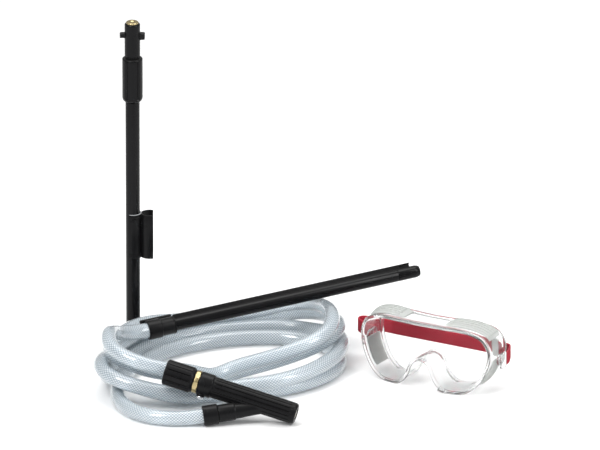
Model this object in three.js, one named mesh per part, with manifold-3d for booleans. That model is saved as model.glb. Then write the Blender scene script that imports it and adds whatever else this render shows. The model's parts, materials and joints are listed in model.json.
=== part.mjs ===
// Wet abrasive-blasting set for a pressure washer: lance pole, blasting head, suction lance,
// loosely coiled suction hose and safety goggles. Millimetres, +Z up, everything standing on Z = 0.
import * as THREE from 'three';
import { mergeVertices } from 'three/addons/utils/BufferGeometryUtils.js';
import Module from 'manifold-3d';

const wasm = await Module();
wasm.setup();

// ---- driving dimensions ----------------------------------------------------------------------
const GAP = 0.3;
const SIDES = 32;

const pole = {
  height: 377, tubeR: 8, pipeR: 4, pipeBoreR: 1.9, tubeFrom: 11.3, collarFrom: 282.2, collarTo: 334,
  collarR: 11.5, spigotR: 8.75, spigotBoreR: 6, earZ: 355.8, earHeight: 8.4, earReach: 14.25, earWidth: 9,
  clipFrom: 95.8, clipHeight: 52, clipWall: 1.9,
};
const hose = { r: 8.5, boreR: 6, sides: 10 };
const head = {
  from: new THREE.Vector3(37.7, -241.5, 50.7), to: new THREE.Vector3(183.9, -274.6, 12.5),
  nutLength: 34.1, nutR: 14.7, nutBoreR: 10.3, nutFlutes: 14, hexFrom: 34.6, hexTo: 40.2, hexR: 13.5,
  shankR: 6.7, shankTo: 52.5, collarTo: 56.1, collarR: 13.4, bodyR: 12.2, bodyFlutes: 16, chamberR: 4.6,
  jetTo: 70, branchAt: 124.1, mixFrom: 133, mixBoreR: 6.3, bossAt: 46, bossTurn: 146, bossTop: 15.2,
};
const branch = {
  mouth: new THREE.Vector3(79.6, -276.2, 11.3), ringR: 11.2, ringLength: 17, neckR: 9.8, neckTo: 35.5,
  rootR: 7.6, socketR: 8.8, socketDepth: 30, boreR: 4.4,
};
const lance = {
  from: new THREE.Vector3(16.5, -98.4, 44), to: new THREE.Vector3(321.7, 14.6, 72.5),
  tubeR: 7, boreR: 5, socketR: 10.9, socketTo: 15.4, neckR: 9.9, neckTo: 30.7, socketBoreR: 8.8,
  channelFrom: 33, channelTo: 317.6, channelWidth: 8.4, channelTop: 11, channelTurn: -45,
  holeTurn: 76, holeFromEnd: 19.5, tipLength: 26,
};
const coil = { x: 100, y: -97, radius: 143, band: 64, height: 54, swell: 12, sides: 72 };
const goggles = {
  x: 321.2, y: -165.8, turn: -28.5, wall: 2.4, lens: 2, frontBow: 14, backMiddle: 39, backSide: 58,
  halfWidth: 81, strapHeight: 18, strapZ: 35, strapThickness: 1.6, pivotD: 37,
  pivotZ: 38, pivotR: 6.5, clipFrom: 81.6, clipTo: 84.2, strapFrom: 50.5, strapBack: 75.5, buckleX: 56,
};

// ---- finishes --------------------------------------------------------------------------------
const finish = (color, roughness, metalness = 0) =>
  new THREE.MeshStandardMaterial({ color, roughness, metalness });
const black = finish(0x17181a, 0.42);
const rubber = finish(0x0d0d0e, 0.75);
const brass = finish(0xb08d45, 0.3, 1);
const steel = finish(0xb9bcc0, 0.25, 1);
const ceramic = finish(0xd9d3c4, 0.35);
const clearHose = finish(0xc9d6de, 0.3);
const clearPlastic = finish(0xe9eef0, 0.15);
const red = finish(0xa81c35, 0.8);

// ---- shape helpers ---------------------------------------------------------------------------
const rad = THREE.MathUtils.degToRad;
const v2 = (x, y) => new THREE.Vector2(x, y);
const v3 = (x, y, z) => new THREE.Vector3(x, y, z);

// A turned piece about Z from [radius, height] pairs that start and end on the axis or close up.
function turned(profile, sides = SIDES) {
  const geometry = new THREE.LatheGeometry(profile.map(([r, z]) => v2(r, z)), sides);
  return geometry.rotateX(Math.PI / 2);
}

// A plain tube about Z; the section closes on itself.
function tube(outerR, innerR, from, to, sides = SIDES) {
  return turned([[innerR, from], [outerR, from], [outerR, to], [innerR, to], [innerR, from]], sides);
}

function rod(r, from, to, sides = SIDES) {
  return turned([[0, from], [r, from], [r, to], [0, to]], sides);
}

function bar(shape, from, to, curveSegments = 12) {
  const options = { depth: to - from, bevelEnabled: false, curveSegments };
  return new THREE.ExtrudeGeometry(shape, options).translate(0, 0, from);
}

function block(x, y, z, at) {
  return new THREE.BoxGeometry(x, y, z).translate(at.x, at.y, at.z);
}

function solid(geometry) {
  const bare = geometry.clone();
  for (const name of Object.keys(bare.attributes)) {
    if (name !== 'position') bare.deleteAttribute(name);
  }
  const merged = mergeVertices(bare, 1e-4);
  return new wasm.Manifold(new wasm.Mesh({
    numProp: 3,
    vertProperties: new Float32Array(merged.attributes.position.array),
    triVerts: new Uint32Array(merged.index.array),
  }));
}

function geometryOf(manifold) {
  const mesh = manifold.getMesh();
  const geometry = new THREE.BufferGeometry();
  geometry.setAttribute('position', new THREE.BufferAttribute(new Float32Array(mesh.vertProperties), 3));
  geometry.setIndex(new THREE.BufferAttribute(new Uint32Array(mesh.triVerts), 1));
  return geometry;
}

// First geometry, plus the ones in `add`, less the ones in `cut`.
function carve(first, { add = [], cut = [] }) {
  let result = solid(first);
  for (const piece of add) result = result.add(solid(piece));
  for (const piece of cut) result = result.subtract(solid(piece));
  return geometryOf(result);
}

// A round outline with `count` grooves of the given depth.
function flutedShape(r, depth, count, grooveShare) {
  const shape = new THREE.Shape();
  const step = 2 * Math.PI / count;
  for (let i = 0; i < count; i++) {
    const floor = r - depth;
    const corners = [
      [0, r], [1 - grooveShare, r], [1 - grooveShare * 0.75, floor], [1 - grooveShare * 0.25, floor],
    ];
    for (const [share, radius] of corners) {
      const angle = (i + share) * step;
      const x = radius * Math.cos(angle);
      const y = radius * Math.sin(angle);
      if (i === 0 && share === 0) shape.moveTo(x, y);
      else shape.lineTo(x, y);
    }
  }
  shape.closePath();
  return shape;
}

// Turns a piece made along +Z to point outwards from the Z axis at an angle, a distance up it.
function radial(geometry, angle, up) {
  return geometry.rotateY(rad(90)).rotateZ(rad(angle)).translate(0, 0, up);
}

// A frame whose +Z runs from one point to another and whose +X leans towards `side`.
function along(from, to, side) {
  const z = to.clone().sub(from).normalize();
  const y = z.clone().cross(side).normalize();
  const x = y.clone().cross(z);
  const group = new THREE.Group();
  group.position.copy(from);
  group.quaternion.setFromRotationMatrix(new THREE.Matrix4().makeBasis(x, y, z));
  return group;
}

function piece(parent, name, geometry, material) {
  const mesh = new THREE.Mesh(geometry, material);
  mesh.name = name;
  parent.add(mesh);
  return mesh;
}

// Rings of points, each the same count, joined into one closed skin, the last ring to the first.
function skin(rings) {
  const count = rings[0].length;
  const positions = [];
  const index = [];
  for (const ring of rings) {
    for (const point of ring) positions.push(point.x, point.y, point.z);
  }
  rings.forEach((ring, r) => {
    const next = (r + 1) % rings.length;
    for (let i = 0; i < count; i++) {
      const j = (i + 1) % count;
      const a = r * count + i;
      const b = r * count + j;
      const c = next * count + j;
      const d = next * count + i;
      index.push(a, c, b, a, d, c);
    }
  });
  const geometry = new THREE.BufferGeometry();
  geometry.setAttribute('position', new THREE.Float32BufferAttribute(positions, 3));
  geometry.setIndex(index);
  return geometry;
}

const set = new THREE.Group();
const layout = new THREE.Group();
set.add(layout);

// ---- lance pole ------------------------------------------------------------------------------
function addPole(parent) {
  const collarMid = (pole.collarFrom + pole.collarTo) / 2;
  const spigotFrom = pole.collarTo + GAP;
  const spigotTo = pole.height - 2.2;

  piece(parent, 'pole_tube', tube(pole.tubeR, pole.pipeR + GAP, pole.tubeFrom, pole.collarFrom - GAP), black);
  piece(parent, 'pressure_pipe', tube(pole.pipeR, pole.pipeBoreR, pole.tubeFrom, spigotTo - 8, 20), steel);

  const recesses = [];
  for (let i = 0; i < 4; i++) {
    const cutter = rod(5.4, pole.collarFrom + 12, pole.collarTo - 6, 20);
    cutter.translate(pole.collarR + 2.4, 0, 0);
    cutter.rotateZ(rad(90 * i - 90));
    recesses.push(cutter);
  }
  const collar = turned([
    [pole.pipeR + GAP, pole.collarFrom], [pole.tubeR + 0.6, pole.collarFrom],
    [pole.collarR - 1, collarMid - 22], [pole.collarR, collarMid - 19],
    [pole.collarR, pole.collarTo - 1.5], [pole.collarR - 1.5, pole.collarTo],
    [pole.pipeR + GAP, pole.collarTo], [pole.pipeR + GAP, pole.collarFrom],
  ]);
  piece(parent, 'grip_collar', carve(collar, { cut: recesses }), black);

  const ears = [];
  for (const side of [-1, 1]) {
    const reach = pole.earReach - pole.spigotBoreR - 1;
    const at = v3(side * (pole.spigotBoreR + 1 + reach / 2), 0, pole.earZ + pole.earHeight / 2);
    ears.push(block(reach, pole.earWidth, pole.earHeight, at));
  }
  const spigot = tube(pole.spigotR, pole.spigotBoreR, spigotFrom, spigotTo);
  piece(parent, 'bayonet_spigot', carve(spigot, { add: ears }), black);
  const insertFrom = spigotTo - 7.6;
  piece(parent, 'inlet_insert', turned([
    [1.6, insertFrom], [pole.spigotBoreR - GAP, insertFrom], [pole.spigotBoreR - GAP, spigotTo + GAP],
    [7, spigotTo + GAP], [7, pole.height - 0.6], [6.4, pole.height], [1.6, pole.height], [1.6, insertFrom],
  ]), brass);
  const sealR = pole.spigotBoreR - GAP;
  const seal = tube(sealR, pole.pipeR + GAP, spigotTo - 11.6, spigotTo - 8.4, 20);
  piece(parent, 'inlet_seal', seal, rubber);

  const shank = turned([
    [pole.pipeBoreR, 0], [5.9, 0], [6.4, 0.8], [6.4, 6.6], [pole.pipeBoreR, 6.6], [pole.pipeBoreR, 0],
  ]);
  const hexagon = new THREE.CylinderGeometry(7.8, 7.8, 4.6, 6).rotateX(Math.PI / 2).translate(0, 0, 8.6);
  const bore = rod(pole.pipeBoreR, -1, 12, SIDES);
  piece(parent, 'outlet_nipple', carve(shank, { add: [hexagon], cut: [bore] }), brass);
}

// Two C-shaped jaws back to back: one snaps round the pole, the open one takes the hose.
function addHoseClip(parent) {
  const innerR = pole.tubeR + GAP;
  const outerR = innerR + pole.clipWall;
  const jaw = (x, fromDeg, toDeg) => {
    const shape = new THREE.Shape();
    shape.absarc(x, 0, outerR, rad(fromDeg), rad(toDeg), false);
    shape.absarc(x, 0, innerR + 0.2, rad(toDeg), rad(fromDeg), true);
    shape.closePath();
    return bar(shape, pole.clipFrom, pole.clipFrom + pole.clipHeight, 20);
  };
  const hoseX = innerR + outerR + 0.4;
  const web = block(2, 9, pole.clipHeight, v3(innerR + 1.2, 0, pole.clipFrom + pole.clipHeight / 2));
  const clip = carve(jaw(0, -119, 119), {
    add: [jaw(hoseX, 67, 293), web],
    cut: [rod(innerR + 0.1, 0, 300), rod(innerR + 0.1, 0, 300).translate(hoseX, 0, 0)],
  });
  piece(parent, 'hose_clip', clip, black);
}

// ---- blasting head ---------------------------------------------------------------------------
function addHead(parent) {
  const up = v3(0, 0, 1);
  const frame = along(head.from, head.to, up);
  const length = head.from.distanceTo(head.to);
  parent.add(frame);
  frame.updateMatrixWorld(true);

  const nut = bar(flutedShape(head.nutR, 1, head.nutFlutes, 0.3), 0, head.nutLength);
  const nutBore = rod(head.nutBoreR, -1, head.nutLength - 3.5);
  const nutHole = rod(head.shankR + GAP, 0, head.nutLength + 1, 24);
  piece(frame, 'union_nut', carve(nut, { cut: [nutBore, nutHole] }), black);

  const flangeTo = head.nutLength - 3.5 - GAP;
  const nipple = turned([
    [0, flangeTo - 3.6], [9.8, flangeTo - 3.6], [9.8, flangeTo], [head.shankR, flangeTo],
    [head.shankR, head.shankTo], [0, head.shankTo],
  ], 24);
  const hexLength = head.hexTo - head.hexFrom;
  const hexagon = new THREE.CylinderGeometry(head.hexR, head.hexR, hexLength, 6).rotateX(Math.PI / 2);
  hexagon.translate(0, 0, (head.hexFrom + head.hexTo) / 2);
  const waterway = rod(pole.pipeBoreR, 0, 60, 20);
  piece(frame, 'inlet_nipple', carve(nipple, { add: [hexagon], cut: [waterway] }), brass);
  piece(frame, 'nipple_seal', tube(9.4, 6.2, flangeTo - 6.6, flangeTo - 3.9, 24), rubber);

  // The branch is laid out in the body's own frame.
  const mouth = frame.worldToLocal(branch.mouth.clone());
  const root = v3(0, 0, head.branchAt);
  const branchFrame = along(mouth, root, v3(1, 0, 0));
  branchFrame.updateMatrixWorld(true);
  const place = (geometry) => geometry.applyMatrix4(branchFrame.matrixWorld);
  const neckFrom = branch.ringLength + GAP;
  const branchLength = mouth.distanceTo(root);

  const neck = place(turned([
    [0, neckFrom], [branch.neckR, neckFrom], [branch.neckR, branch.neckTo],
    [branch.rootR, branch.neckTo + 24], [branch.rootR, branchLength], [0, branchLength],
  ], 28));
  const collar = rod(head.collarR, head.hexTo + GAP, head.collarTo);
  const fluted = bar(flutedShape(head.bodyR, 0.9, head.bodyFlutes, 0.35), head.collarTo - 0.5, length - 1.5);
  const nose = turned([
    [0, length - 2], [head.bodyR - 1, length - 2], [head.bodyR - 2.2, length], [0, length],
  ]);
  const boss = radial(rod(4.4, 0, head.bossTop, 16), head.bossTurn, head.bossAt);
  const body = carve(collar, {
    add: [fluted, nose, neck, boss],
    cut: [
      rod(head.shankR + GAP, 0, head.shankTo + 2, 24),
      rod(head.chamberR, head.shankTo, head.mixFrom, 20),
      rod(head.mixBoreR, head.mixFrom - 1, length + 1, 24),
      place(rod(branch.socketR, 0, branch.socketDepth, 24)),
      place(rod(branch.boreR, 0, branchLength, 20)),
      radial(rod(1.7, 8, 30, 12), head.bossTurn, head.bossAt),
    ],
  });
  piece(frame, 'head_body', body, black);
  piece(frame, 'jet_nozzle', tube(head.chamberR - GAP, 1, head.shankTo + 2.3, head.jetTo, 20), brass);
  piece(frame, 'mixing_tube', tube(head.mixBoreR - GAP, 3.8, head.mixFrom + 1, length - 1, 24), ceramic);

  const screwFrom = head.bossTop + GAP;
  const screw = turned([
    [0, 10], [1.4, 10], [1.4, screwFrom], [3.9, screwFrom], [3.9, screwFrom + 1.2], [2.6, screwFrom + 2.3],
    [0, screwFrom + 2.6],
  ], 20);
  piece(frame, 'housing_screw', radial(screw, head.bossTurn, head.bossAt), steel);

  piece(frame, 'branch_ring', place(tube(branch.ringR, branch.socketR, 0, branch.ringLength, 28)), black);
  piece(frame, 'branch_barb', place(tube(hose.boreR - GAP, 4.2, 4, branch.socketDepth - GAP, 20)), brass);
}

// ---- suction lance ---------------------------------------------------------------------------
function addLance(parent) {
  const frame = along(lance.from, lance.to, v3(0, 0, 1));
  const length = lance.from.distanceTo(lance.to);
  parent.add(frame);

  const tipFrom = length - lance.tipLength;
  piece(frame, 'suction_tube', tube(lance.tubeR, lance.boreR, 12, tipFrom - GAP, 24), black);
  const tip = turned([
    [lance.boreR, tipFrom], [lance.tubeR, tipFrom], [lance.tubeR, length - 5],
    [lance.tubeR - 0.7, length - 1.6], [lance.tubeR - 1.6, length],
    [lance.boreR, length], [lance.boreR, tipFrom],
  ], 24);
  const airHole = radial(rod(1.6, 0, 12, 12), lance.holeTurn, length - lance.holeFromEnd);
  piece(frame, 'suction_tip', carve(tip, { cut: [airHole] }), black);

  const profile = new THREE.Shape();
  const half = lance.channelWidth / 2;
  profile.moveTo(1.5, -half);
  profile.lineTo(lance.channelTop - 1.5, -half);
  profile.absarc(lance.channelTop - 1.5, -half + 1.5, 1.5, rad(-90), 0, false);
  profile.absarc(lance.channelTop - 1.5, half - 1.5, 1.5, 0, rad(90), false);
  profile.lineTo(1.5, half);
  profile.closePath();
  const channel = bar(profile, lance.channelFrom, lance.channelTo, 4);
  const bed = rod(lance.tubeR + GAP, lance.channelFrom - 1, lance.channelTo + 1, 24);
  const groove = rod(1.6, lance.channelFrom - 1, lance.channelTo + 1, 12);
  groove.translate(lance.channelTop - 2.6, 0, 0);
  const slot = block(5, 20, 6, v3(lance.channelTop, 0, lance.channelTo - 9));
  const channelBody = carve(channel, { cut: [bed, groove, slot] }).rotateZ(rad(lance.channelTurn));
  piece(frame, 'air_channel', channelBody, black);
  const airTube = tube(2, 1.1, -4, lance.channelFrom - GAP, 14).translate(lance.socketR + GAP + 2, 0, 0);
  piece(frame, 'air_tube', airTube.rotateZ(rad(lance.channelTurn - 14)), black);

  const socket = turned([
    [lance.socketBoreR, 0], [lance.socketR, 0], [lance.socketR, lance.socketTo],
    [lance.neckR, lance.socketTo + 0.8], [lance.neckR, lance.neckTo],
    [lance.tubeR + GAP, lance.neckTo], [lance.tubeR + GAP, 24],
    [lance.socketBoreR, 24], [lance.socketBoreR, 0],
  ], 28);
  piece(frame, 'lance_socket', socket, black);
  const bandFrom = lance.neckTo + GAP;
  const band = tube(lance.neckR + 0.2, lance.tubeR + GAP, bandFrom, bandFrom + 1.2, 28);
  piece(frame, 'socket_band', band, black);
  piece(frame, 'lance_barb', tube(hose.boreR - GAP, 4, 2, 11.6, 20), brass);
}

// ---- suction hose ----------------------------------------------------------------------------
const tailAtHead = [
  v3(79.2, -276.3, 11.3), v3(66, -278, 10.2), v3(44.5, -276, 8.6), v3(20, -266, 8.6),
  v3(-2, -245, 8.6), v3(-15, -218, 8.6), v3(-20, -190, 8.6), v3(-21, -168, 8.6),
];
const tailAtLance = [
  v3(16.1, -98.5, 43.9), v3(4.4, -102.9, 42.9), v3(-9, -113, 45), v3(-20, -131, 50),
  v3(-26, -152, 56), v3(-27.5, -172, 60),
];

function hoseRun(points, r, steps) {
  const section = new THREE.Shape().absarc(0, 0, r, 0, 2 * Math.PI, false);
  const extrudePath = new THREE.CatmullRomCurve3(points);
  const options = { steps, extrudePath, bevelEnabled: false, curveSegments: hose.sides };
  return new THREE.ExtrudeGeometry(section, options);
}

// A round rod between two places in the set, to clear room round a straight piece.
function rodBetween(from, to, r) {
  const frame = along(from, to, v3(0, 0, 1));
  frame.updateMatrixWorld(true);
  return rod(r, -6, from.distanceTo(to) + 6).applyMatrix4(frame.matrixWorld);
}

// The heap of turns as one ring, flat underneath and higher at its left and right bends.
function addHose(parent) {
  const rings = [];
  for (let i = 0; i < coil.sides; i++) {
    const angle = 2 * Math.PI * i / coil.sides;
    const top = coil.height + coil.swell * Math.cos(2 * angle);
    const at = (r, z) => v3(coil.x + r * Math.cos(angle), coil.y + r * Math.sin(angle), z);
    const innerR = coil.radius - coil.band;
    rings.push([at(innerR, 0), at(coil.radius, 0), at(coil.radius, top), at(innerR, top)]);
  }
  const cleared = carve(skin(rings), {
    cut: [
      hoseRun([...tailAtHead, v3(-21, -165, 8.6)], hose.r + GAP, 18),
      hoseRun([...tailAtLance, v3(-27.8, -175, 60.4)], hose.r + GAP, 14),
      rodBetween(lance.from, lance.from.clone().lerp(lance.to, 0.12), lance.socketR + 6.5),
      rodBetween(lance.from, lance.to, lance.channelTop + 1.5),
      rodBetween(head.from, head.to, head.nutR + 1.5),
      rod(pole.tubeR + 2, -1, 80),
    ],
  });
  piece(parent, 'suction_hose_coil', cleared, clearHose);
  piece(parent, 'suction_hose_head_run', hoseRun(tailAtHead, hose.r, 16), clearHose);
  piece(parent, 'suction_hose_lance_run', hoseRun(tailAtLance, hose.r, 12), clearHose);
}

// ---- safety goggles --------------------------------------------------------------------------
// Half of the front outline, from the nose arch round the cheek to the middle of the brow.
const cheek = [
  [0, 34], [9, 30], [17, 13], [27, 2.4], [40, 0], [55, 3],
  [69, 15], [78.5, 34], [81, 52], [74, 67], [58, 75], [30, 77.4],
];

function goggleOutline(count) {
  const right = cheek.map(([x, z]) => v3(x, 0, z));
  const left = cheek.slice(1).reverse().map(([x, z]) => v3(-x, 0, z));
  const curve = new THREE.CatmullRomCurve3([...right, v3(0, 0, 77.8), ...left], true, 'centripetal');
  return curve.getPoints(count).slice(0, count);
}

// A point on the skirt: `i` round the outline, `depth` 0 at the lens to 1 at the face, pushed out by `out`.
const OUTLINE = 72;
const goggleHeight = 90;
const outline = goggleOutline(OUTLINE);
function skirtPoint(i, depth, out) {
  const at = outline[(i + OUTLINE) % OUTLINE];
  const before = outline[(i + OUTLINE - 1) % OUTLINE];
  const after = outline[(i + 1) % OUTLINE];
  const normal = v2(after.z - before.z, before.x - after.x).normalize();
  const side = (at.x / goggles.halfWidth) ** 2;
  const front = goggles.frontBow * side;
  const back = goggles.backMiddle + (goggles.backSide - goggles.backMiddle) * side;
  const draw = 1 - 0.04 * depth;
  const x = at.x * draw + normal.x * out;
  const z = at.z * draw + normal.y * out;
  return v3(x, front + (back - front) * depth, Math.max(z, 0));
}

function ringOf(depth, out) {
  return outline.map((_, i) => skirtPoint(i, depth, out));
}

// A pad on the outside of the skirt, over outline points `from` to `to`.
function skirtPad(from, to, depthFrom, depthTo, inner, outer) {
  const rings = [];
  for (let i = from; i <= to; i++) {
    rings.push([
      skirtPoint(i, depthFrom, inner), skirtPoint(i, depthTo, inner),
      skirtPoint(i, depthTo, outer), skirtPoint(i, depthFrom, outer),
    ]);
  }
  const positions = rings.flat().flatMap((p) => [p.x, p.y, p.z]);
  const index = [0, 1, 2, 0, 2, 3];
  for (let r = 0; r < rings.length - 1; r++) {
    for (let k = 0; k < 4; k++) {
      const a = r * 4 + k;
      const b = r * 4 + (k + 1) % 4;
      index.push(a, a + 4, b + 4, a, b + 4, b);
    }
  }
  const last = (rings.length - 1) * 4;
  index.push(last, last + 2, last + 1, last, last + 3, last + 2);
  const geometry = new THREE.BufferGeometry();
  geometry.setAttribute('position', new THREE.Float32BufferAttribute(positions, 3));
  geometry.setIndex(index);
  return geometry;
}

// The window: a sheet bowed round the face, trimmed to the skirt's front opening.
function bowedLens() {
  const sheet = new THREE.Shape();
  const bowAt = (x) => goggles.frontBow * (x / goggles.halfWidth) ** 2 + 1;
  const steps = 24;
  const xAt = (i) => goggles.halfWidth * (2 * i / steps - 1);
  for (let i = 0; i <= steps; i++) {
    if (i === 0) sheet.moveTo(xAt(i), bowAt(xAt(i)));
    else sheet.lineTo(xAt(i), bowAt(xAt(i)));
  }
  for (let i = steps; i >= 0; i--) sheet.lineTo(xAt(i), bowAt(xAt(i)) + goggles.lens);
  sheet.closePath();
  const opening = new THREE.Shape(ringOf(0, -goggles.wall - GAP).map((p) => v2(p.x, -p.z)));
  const depth = goggles.frontBow + 10;
  const trimmer = bar(opening, -depth, depth).rotateX(-Math.PI / 2);
  return geometryOf(solid(bar(sheet, -5, goggleHeight)).intersect(solid(trimmer)));
}

function addGoggles(parent) {
  const frame = new THREE.Group();
  frame.position.set(goggles.x, goggles.y, 0);
  frame.rotation.z = rad(goggles.turn);
  parent.add(frame);

  const stations = [0, 0.12, 0.4, 0.7, 1];
  const outer = stations.map((depth) => ringOf(depth, 0));
  const inner = [...stations].reverse().map((depth) => ringOf(depth, -goggles.wall));
  piece(frame, 'goggle_frame', skin([...outer, ...inner]), clearPlastic);

  piece(frame, 'goggle_lens', bowedLens(), clearPlastic);

  for (const [level, from, to] of [['upper', 27, 33], ['lower', 17, 22]]) {
    const right = skirtPad(from, to, 0.25, 0.85, GAP, 2.6);
    const left = skirtPad(OUTLINE - to, OUTLINE - from, 0.25, 0.85, GAP, 2.6);
    piece(frame, `vent_${level}_right`, right, clearPlastic);
    piece(frame, `vent_${level}_left`, left, clearPlastic);
  }

  for (const [name, side] of [['left', -1], ['right', 1]]) {
    const disc = rod(goggles.pivotR, goggles.clipFrom, goggles.clipTo, 24).rotateY(rad(90 * side));
    disc.translate(0, goggles.pivotD, goggles.pivotZ);
    const thick = goggles.clipTo - goggles.clipFrom;
    const tongueD = (goggles.pivotD + goggles.strapFrom) / 2;
    const tongueAt = v3(side * (goggles.clipFrom + thick / 2), tongueD, goggles.strapZ);
    const tongue = block(thick, goggles.strapFrom - goggles.pivotD - 1, goggles.strapHeight, tongueAt);
    piece(frame, `strap_clip_${name}`, carve(disc, { add: [tongue] }), clearPlastic);
  }
  piece(frame, 'strap', strapRibbon(), red);
  const buckle = block(9, 4.6, goggles.strapHeight + 5, v3(0, 0, 0));
  const slit = block(12, goggles.strapThickness + 2 * GAP, goggles.strapHeight + 2 * GAP, v3(0, 0, 0));
  const ring = carve(buckle, { cut: [slit] }).translate(goggles.buckleX, goggles.strapBack, goggles.strapZ);
  piece(frame, 'strap_buckle', ring, clearPlastic);
}

// The elastic band: from one clip out and round behind the skirt to the other clip.
function strapRibbon() {
  const clipMid = (goggles.clipFrom + goggles.clipTo) / 2;
  const back = goggles.strapBack;
  const path = new THREE.CatmullRomCurve3([
    v3(-clipMid, goggles.strapFrom, 0), v3(-clipMid - 0.3, goggles.strapFrom + 2, 0), v3(-92, 56, 0),
    v3(-104, 59, 0), v3(-112, 65, 0), v3(-112, 71.5, 0), v3(-102, back, 0), v3(-60, back, 0), v3(0, back, 0),
    v3(48, back, 0), v3(66, back, 0), v3(75, 73.5, 0), v3(79, 66, 0), v3(82, 58, 0),
    v3(clipMid, goggles.strapFrom + 2, 0), v3(clipMid, goggles.strapFrom, 0),
  ], false, 'centripetal');
  const count = 56;
  const centre = path.getPoints(count);
  const edge = (side) => centre.map((p, i) => {
    const way = path.getTangent(i / count);
    return v2(p.x - way.y * side, p.y + way.x * side);
  });
  const half = goggles.strapThickness / 2;
  const shape = new THREE.Shape([...edge(-half), ...edge(half).reverse()]);
  const low = goggles.strapZ - goggles.strapHeight / 2;
  return bar(shape, low, low + goggles.strapHeight, 1);
}

addPole(layout);
addHoseClip(layout);
addHead(layout);
addLance(layout);
addHose(layout);
addGoggles(layout);

// The set's own origin: the middle of its rigid pieces' box, on the ground.
const box = new THREE.Box3();
layout.updateMatrixWorld(true);
layout.traverse((node) => {
  if (node.isMesh && !node.name.startsWith('suction_hose')) box.expandByObject(node, true);
});
const middle = box.getCenter(v3(0, 0, 0));
layout.position.set(-middle.x, -middle.y, 0);

export default set;
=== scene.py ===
import json
import math

import bmesh
import bpy
import numpy as np
from mathutils import Matrix, Vector


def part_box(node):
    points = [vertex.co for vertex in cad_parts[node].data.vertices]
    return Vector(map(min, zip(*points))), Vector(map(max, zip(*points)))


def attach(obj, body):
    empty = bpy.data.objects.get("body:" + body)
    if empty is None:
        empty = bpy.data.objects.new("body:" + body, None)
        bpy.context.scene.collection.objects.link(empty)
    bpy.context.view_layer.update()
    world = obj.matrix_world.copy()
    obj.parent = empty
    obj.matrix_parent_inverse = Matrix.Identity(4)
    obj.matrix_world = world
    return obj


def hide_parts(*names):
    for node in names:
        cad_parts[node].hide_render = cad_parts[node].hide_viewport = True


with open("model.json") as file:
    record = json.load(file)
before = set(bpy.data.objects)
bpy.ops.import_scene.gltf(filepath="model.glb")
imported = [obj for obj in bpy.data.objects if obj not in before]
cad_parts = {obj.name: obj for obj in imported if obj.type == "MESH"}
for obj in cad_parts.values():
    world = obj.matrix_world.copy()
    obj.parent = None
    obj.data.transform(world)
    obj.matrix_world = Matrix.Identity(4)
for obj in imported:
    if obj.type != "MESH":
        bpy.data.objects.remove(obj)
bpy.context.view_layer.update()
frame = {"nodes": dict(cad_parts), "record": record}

# Places are in millimetres from the foot of the standing pole, as in the part's source.
MM = 0.001
pole_low, pole_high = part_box("pole_tube")
HOME = Vector(((pole_low.x + pole_high.x) / 2, (pole_low.y + pole_high.y) / 2, 0.0))
UP = (0, 0, 1)

POLE = {"height": 377, "tube_r": 8, "from": 11.3, "collar_from": 282.2, "collar_to": 334, "collar_r": 11.5,
        "spigot_r": 8.75, "spigot_bore": 6, "ear_z": 355.8, "ear_height": 8.4, "ear_reach": 14.25,
        "clip_from": 95.8, "clip_height": 52, "clip_wall": 1.9}
HOSE = {"r": 8.5, "sides": 24, "step": 3, "head_height": 11.6, "head_reach": 30, "lance_height": 44.2,
        "lance_reach": 90}
HEAD = {"from": (37.7, -241.5, 50.7), "to": (183.9, -274.6, 12.5), "nut": 34.1, "nut_r": 14.7, "bore": 10.3,
        "hex_to": 40.2, "collar_to": 56.1, "collar_r": 13.4, "body_r": 12.2, "branch_at": 124.1,
        "boss_at": 46, "boss_turn": 146, "boss_top": 15.2}
BRANCH = {"mouth": (79.6, -276.2, 11.3), "ring_r": 11.2, "ring": 17, "neck_r": 9.8, "neck_to": 35.5,
          "root_r": 7.6, "socket_r": 8.8}
LANCE = {"from": (16.5, -98.4, 44), "to": (321.7, 14.6, 72.5), "tube_r": 7, "bore": 5, "socket_r": 10.9,
         "socket_to": 15.4, "neck_r": 9.9, "neck_to": 30.7, "socket_bore": 8.8, "channel_from": 33,
         "channel_to": 317.6, "channel_width": 8.4, "channel_top": 11, "channel_turn": -45,
         "hole_turn": 76, "hole_back": 19.5, "tip": 26}
GOGGLES = {"x": 321.2, "y": -165.8, "turn": -28.5, "wall": 2.4, "lens": 2, "bow": 14, "back": 39, "back_side": 58,
           "half": 81, "strap_height": 18, "strap_z": 35, "strap_t": 1.6, "pivot_d": 37, "pivot_z": 38,
           "pivot_r": 6.5, "clip_from": 81.6, "clip_to": 84.2, "strap_from": 50.5, "strap_back": 75.5,
           "buckle": 56}


# ---- camera and studio ---------------------------------------------------------------------
def place(x, y, z):
    return HOME + Vector((x, y, z)) * MM


def add_camera():
    tilt = math.radians(21)
    distance, view_width, film = 24.0, 0.672, 36
    camera = bpy.data.cameras.new("camera")
    camera.sensor_width = film
    camera.lens = film * distance / view_width
    camera.clip_end = 50
    holder = bpy.data.objects.new("camera", camera)
    holder.location = place(187.8, -80, 163.7) + distance * Vector((0, -math.cos(tilt), math.sin(tilt)))
    holder.rotation_euler = (math.pi / 2 - tilt, 0, 0)
    bpy.context.scene.collection.objects.link(holder)
    bpy.context.scene.camera = holder


def add_softbox(name, at, size, power, aim):
    light = bpy.data.lights.new(name, "AREA")
    light.shape = "RECTANGLE"
    light.size, light.size_y = size
    light.energy = power
    holder = bpy.data.objects.new(name, light)
    holder.location = HOME + Vector(at)
    holder.rotation_euler = (HOME + Vector(aim) - holder.location).to_track_quat("-Z", "Y").to_euler()
    bpy.context.scene.collection.objects.link(holder)


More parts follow.
